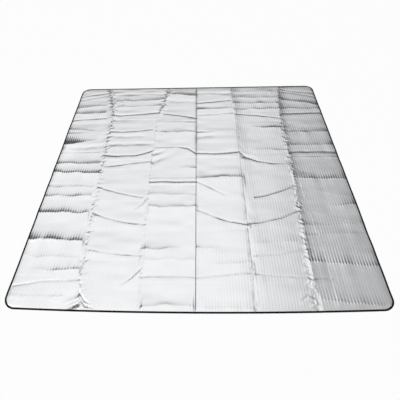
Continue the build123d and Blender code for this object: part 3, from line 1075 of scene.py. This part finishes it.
def sewing_tree():
    tree = bpy.data.node_groups.new("sewing", "GeometryNodeTree")
    sockets = [
        ("Geometry", "NodeSocketGeometry", None),
        ("Pitch", "NodeSocketFloat", STITCH_PITCH * MM),
        ("Length", "NodeSocketFloat", STITCH_LENGTH * MM),
        ("Width", "NodeSocketFloat", STITCH_WIDTH * MM),
        ("Thread", "NodeSocketMaterial", None),
    ]
    for name, kind, value in sockets:
        socket = tree.interface.new_socket(name, in_out="INPUT", socket_type=kind)
        if value is not None:
            socket.default_value = value
    tree.interface.new_socket("Geometry", in_out="OUTPUT", socket_type="NodeSocketGeometry")
    given = add_node(tree, "NodeGroupInput")
    points = add_node(
        tree, "GeometryNodeCurveToPoints",
        {"Curve": given.outputs["Geometry"], "Length": given.outputs["Pitch"]}, mode="LENGTH",
    )
    stitch = add_node(tree, "GeometryNodeMeshUVSphere", {"Segments": 6, "Rings": 4, "Radius": 0.5})
    size = add_node(
        tree, "ShaderNodeCombineXYZ",
        {0: given.outputs["Width"], 1: given.outputs["Width"], 2: given.outputs["Length"]},
    )
    sewn = add_node(
        tree, "GeometryNodeInstanceOnPoints",
        {
            "Points": points.outputs["Points"],
            "Instance": stitch.outputs["Mesh"],
            "Rotation": points.outputs["Rotation"],
            "Scale": size.outputs[0],
        },
    )
    real = add_node(tree, "GeometryNodeRealizeInstances", {0: sewn.outputs[0]})
    smooth = add_node(tree, "GeometryNodeSetShadeSmooth", {0: real.outputs[0]})
    coated = add_node(
        tree, "GeometryNodeSetMaterial",
        {"Geometry": smooth.outputs[0], "Material": given.outputs["Thread"]},
    )
    add_node(tree, "NodeGroupOutput", {0: coated.outputs[0]})
    return tree


sewing = sewing_tree()


def needle_path(run, height):
    """The points that the needle follows along a run of the edge, in metres."""
    at = edge_plan[run] - outward[run] * STITCH_INSET
    return np.column_stack([at, edge_rise[run] + height]) * MM


def sew(zone):
    """All the stitches of a zone, on both faces of its tape, as one mesh."""
    lines = bpy.data.curves.new(f"needle_{zone}", "CURVE")
    lines.dimensions = "3D"
    for run in stretches(zone):
        for height in (THICK - TAPE_LIFT + UPPER_STITCH_RISE, TAPE_LIFT + LOWER_STITCH_RISE):
            path = needle_path(run, height)
            spline = lines.splines.new("POLY")
            spline.points.add(len(path) - 1)
            spline.points.foreach_set("co", np.column_stack([path, np.ones(len(path))]).ravel())
    needle = bpy.data.objects.new(f"needle_{zone}", lines)
    bpy.context.collection.objects.link(needle)
    modifier = needle.modifiers.new("sewing", "NODES")
    modifier.node_group = sewing
    wanted = {"Thread": thread_black, "Pitch": STITCH_PITCH * MM}
    for item in sewing.interface.items_tree:
        if item.in_out == "INPUT" and item.name in wanted:
            modifier[item.identifier] = wanted[item.name]
    bpy.context.view_layer.update()
    seen = needle.evaluated_get(bpy.context.evaluated_depsgraph_get())
    mesh = bpy.data.meshes.new_from_object(seen)
    bpy.data.objects.remove(needle)
    mesh.name = f"lockstitch_{zone + 1}"
    piece = bpy.data.objects.new(mesh.name, mesh)
    bpy.context.collection.objects.link(piece)
    return piece


threads = [sew(zone) for zone in range(len(HINGES))]
print("stitch faces", [len(thread.data.polygons) for thread in threads])

# %% [markdown]
# ## The centre weld
#
# The weld is a thin closed strip that lies in the groove of the upper film, with the small beads
# of melted film that the hot bar leaves.

# %% Centre weld
WELD_WIDE = 2.0


def make_centre_weld():
    columns = np.linspace(-WELD_WIDE, WELD_WIDE, 7)
    rows = row_lines(2.5)
    rows = rows[np.abs(rows) < HALF_LENGTH - 7]
    x, y = np.meshgrid(columns, rows)
    base, _ = relief(x, y)
    beads = 0.12 * np.cos(2 * math.pi * y / WELD_MARK) + 0.1 * value_noise(x, y, 6.0, 61)
    arch = 0.35 * (1 - (x / WELD_WIDE) ** 2)
    top = base + THICK - RIB_HEIGHT + ribs(x, y) - WELD_SINK - PINCH * pinch(x, y) + 0.12 + arch * (1 + beads)
    bottom = np.minimum(top - 0.25, base + THICK - 1.2)
    plan_x, plan_y = plan(x, y, FILM_INSET)
    return closed_slab("centre_weld", plan_x, plan_y, top, bottom, weld_grey)


weld = make_centre_weld()
print(weld.name, len(weld.data.polygons), "faces")

# %% [markdown]
# ## What each piece stands for
#
# Every piece takes the place of the plain solids of the packed model, which are hidden.

# %% Stand-ins
MIDDLE_ZONE = len(HINGES) // 2
PANEL_COUNT = len(HINGES) + 1


def panels_of(zone):
    """The panels whose solids a zone's pieces stand for: one each, and two for the middle zone."""
    if zone < MIDDLE_ZONE:
        return [zone + 1]
    if zone > MIDDLE_ZONE:
        return [zone + 2]
    return [zone + 1, zone + 2]


def tape_nodes(panel):
    if panel in (1, PANEL_COUNT):
        return [f"edge_tape_{panel}"]
    return [f"edge_tape_{panel}_front", f"edge_tape_{panel}_back"]


for zone in range(len(HINGES)):
    panels = panels_of(zone)
    crease = [f"fold_crease_{zone + 1}"] if zone != MIDDLE_ZONE else []
    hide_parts(*[f"top_film_{panel}" for panel in panels])
    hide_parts(*[f"bottom_film_{panel}" for panel in panels])
    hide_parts(*[f"foam_core_{panel}" for panel in panels], *crease)
    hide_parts(*[node for panel in panels for node in tape_nodes(panel)])
    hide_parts(*[f"edge_stitching_{panel}" for panel in panels])
    for piece, slot_name in (
        (upper_films[zone], "film"),
        (lower_films[zone], "film"),
        (cores[zone], "foam"),
        (tapes[zone], "tape"),
        (threads[zone], "thread"),
    ):
        bend_and_name(piece)
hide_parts("centre_seam")
bend_and_name(weld)
print(5 * len(HINGES) + 1, "pieces bend round", len(HINGES), "hinges")

# %% [markdown]
# ## The floor
#
# The floor is plain and pale. It is pure white only to the camera and in the film's reflections,
# and ordinary pale paint to everything else, so it needs no strong light to look white. A small
# share of its own shading is kept, which is where the pad's shadow shows.

# %% Floor
FLOOR_HALF = 14.0
FLOOR_DEPTH = 0.0004  # m below the pad, so that the two don't flicker
FLOOR_WHITE = 0.93  # how much of the floor's look is plain white


def make_floor():
    material, tree, shader, _ = new_material("white_studio_floor")
    shader.inputs["Base Color"].default_value = colour("#F2F2F2")
    shader.inputs["Roughness"].default_value = 0.9
    shader.inputs["Specular IOR Level"].default_value = 0.1
    mesh = bpy.data.meshes.new("studio_floor")
    corners = [(-1, -1), (1, -1), (1, 1), (-1, 1)]
    places = [(FLOOR_HALF * x, FLOOR_HALF * y, -FLOOR_DEPTH) for x, y in corners]
    mesh.from_pydata(places, [], [(0, 1, 2, 3)])
    mesh.materials.append(material)
    floor = bpy.data.objects.new("studio_floor", mesh)
    bpy.context.collection.objects.link(floor)
    floor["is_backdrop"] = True
    path = add_node(tree, "ShaderNodeLightPath")
    seen = calculate(tree, "MAXIMUM", path.outputs["Is Camera Ray"], path.outputs["Is Glossy Ray"])
    share = calculate(tree, "MULTIPLY", seen, FLOOR_WHITE)
    white = add_node(tree, "ShaderNodeEmission", {"Color": (1, 1, 1, 1), "Strength": 1.0})
    mixed = add_node(tree, "ShaderNodeMixShader", {0: share, 1: shader.outputs[0], 2: white.outputs[0]})
    output = next(n for n in tree.nodes if n.type == "OUTPUT_MATERIAL")
    tree.links.new(mixed.outputs[0], output.inputs["Surface"])
    return floor


print(make_floor().name, 2 * FLOOR_HALF, "m wide")

# %% [markdown]
# ## The light
#
# The film is nearly a mirror, so what it sees matters more than what lights it. It sees a dim
# room with one wide window behind and above the pad. The window stops low down, so every slope
# that leans back sees the dark wall and draws a line, and it stops on the right, so the panels
# there are greyer. Its panes give the film faint bands. Softer light all round the other sides
# keeps the pad bright when it is looked at from there, and a softbox on the left picks out the
# crumples. Apart from that softbox it is one gradient in the world's nodes, worked out from the
# direction that a ray comes from, which is easier to shape than a set of lamps.

# %% Studio light
WINDOW_LEVEL = 1.10
ROOM_LEVEL = 0.05
# Where the bright part begins and ends, as parts of a direction's length.
WINDOW_FROM_GROUND = (0.20, 0.56)
WINDOW_UPWARDS = (0.50, 0.95)
WINDOW_RIGHT = (0.38, 0.17)
WINDOW_LEFT = (-0.92, -0.60)
ROOM_RIGHT = (0.85, 0.50)
PANE = 0.30
BACKDROP_LEVEL = 0.94  # how bright the room's far wall looks to the camera itself
PANE_GAP = 0.10
# The softer light all round the sides and the front of the room.
SIDES_LEVEL = 0.72
SIDES_UPWARDS = (0.72, 0.50)
SIDES_BACKWARDS = (0.55, 0.25)


def make_world():
    """A dim room with one large bright window above and behind the pad, and softer light round it."""
    world = bpy.data.worlds.new("studio")
    bpy.context.scene.world = world
    world.use_nodes = True
    tree = world.node_tree
    tree.nodes.clear()
    way = add_node(tree, "ShaderNodeTexCoord").outputs["Generated"]
    parts = add_node(tree, "ShaderNodeSeparateXYZ", {0: way})
    level = 1.0
    for axis, ends, least in (
        ("Z", WINDOW_FROM_GROUND, 0.0),
        ("Z", WINDOW_UPWARDS, 0.82),
        ("X", WINDOW_RIGHT, 0.5),
        ("X", ROOM_RIGHT, 0.34),
        ("X", WINDOW_LEFT, 0.1),
    ):
        edge = rescale(tree, parts.outputs[axis], ends, (least, 1.0), interpolation_type="SMOOTHSTEP")
        level = calculate(tree, "MULTIPLY", level, edge)
    turn = calculate(tree, "MULTIPLY", parts.outputs["X"], 2 * math.pi / PANE)
    gap = rescale(tree, calculate(tree, "COSINE", turn), (-1.0, 1.0), (1.0 - PANE_GAP, 1.0))
    window = calculate(tree, "MULTIPLY", level, gap)
    sides = SIDES_LEVEL
    for axis, ends in (("Z", SIDES_UPWARDS), ("Y", SIDES_BACKWARDS)):
        edge = rescale(tree, parts.outputs[axis], ends, (0.0, 1.0), interpolation_type="SMOOTHSTEP")
        sides = calculate(tree, "MULTIPLY", sides, edge)
    brighter = calculate(tree, "MAXIMUM", window, sides)
    shade = rescale(tree, brighter, (0.0, 1.0), (ROOM_LEVEL, WINDOW_LEVEL))
    seen = add_node(tree, "ShaderNodeLightPath").outputs["Is Camera Ray"]
    strength = add_node(tree, "ShaderNodeMix", {0: seen, 2: shade, 3: BACKDROP_LEVEL}, data_type="FLOAT")
    light = add_node(
        tree, "ShaderNodeBackground", {"Color": (1.0, 1.0, 1.0, 1.0), "Strength": strength.outputs[0]}
    )
    add_node(tree, "ShaderNodeOutputWorld", {"Surface": light.outputs[0]})


def add_lamp(name, place, size, radiance, aim):
    """A rectangular soft lamp that looks as bright as radiance wherever it is seen."""
    lamp = bpy.data.lights.new(name, "AREA")
    lamp.shape = "RECTANGLE"
    lamp.size, lamp.size_y = size
    lamp.energy = radiance * math.pi * size[0] * size[1]
    holder = bpy.data.objects.new(name, lamp)
    bpy.context.collection.objects.link(holder)
    holder.location = place
    holder.rotation_euler = (Vector(aim) - Vector(place)).to_track_quat("-Z", "Y").to_euler()
    return holder


make_world()
softbox = add_lamp("side_softbox", (-3.2, -1.6, 2.6), (1.6, 1.6), 1.6, (0.0, 0.0, 0.0))
print(softbox.name, round(softbox.data.energy, 1), "W")

# %% [markdown]
# ## The camera
#
# The camera was fitted to the pad's four corners in the photograph, with the pad taken as a
# square of 2 m; another plan would fit them with another lens. It stands in front of the pad at
# head height and looks down at it, with the small turn and roll of a camera that isn't quite
# level. They are applied in the order in which a hand makes them: turn, then tilt, then roll.

# %% Camera
FOCAL_SHARE = 0.85475  # focal length as a share of the sensor's width
CAMERA_PLACE = (0.023, -1.685, 1.680)
CAMERA_DOWN = 50.15
CAMERA_TURN = 3.0
CAMERA_ROLL = -2.62
CAMERA_SHIFT = 0.0296

camera_data = bpy.data.cameras.new("camera")
camera_data.sensor_width = 36.0
camera_data.lens = 36.0 * FOCAL_SHARE
camera_data.shift_x = CAMERA_SHIFT
camera = bpy.data.objects.new("camera", camera_data)
bpy.context.collection.objects.link(camera)
camera.matrix_world = (
    Matrix.Translation(CAMERA_PLACE)
    @ Matrix.Rotation(math.radians(CAMERA_TURN), 4, "Z")
    @ Matrix.Rotation(math.radians(90 - CAMERA_DOWN), 4, "X")
    @ Matrix.Rotation(math.radians(CAMERA_ROLL), 4, "Z")
)
bpy.context.scene.camera = camera
bpy.context.scene.view_settings.view_transform = "Standard"
print("camera looks", CAMERA_DOWN, "degrees down, focal length", round(camera_data.lens, 2), "mm")

# %% Finish
low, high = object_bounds()
print("visual box", [round(v, 4) for v in low], [round(v, 4) for v in high])
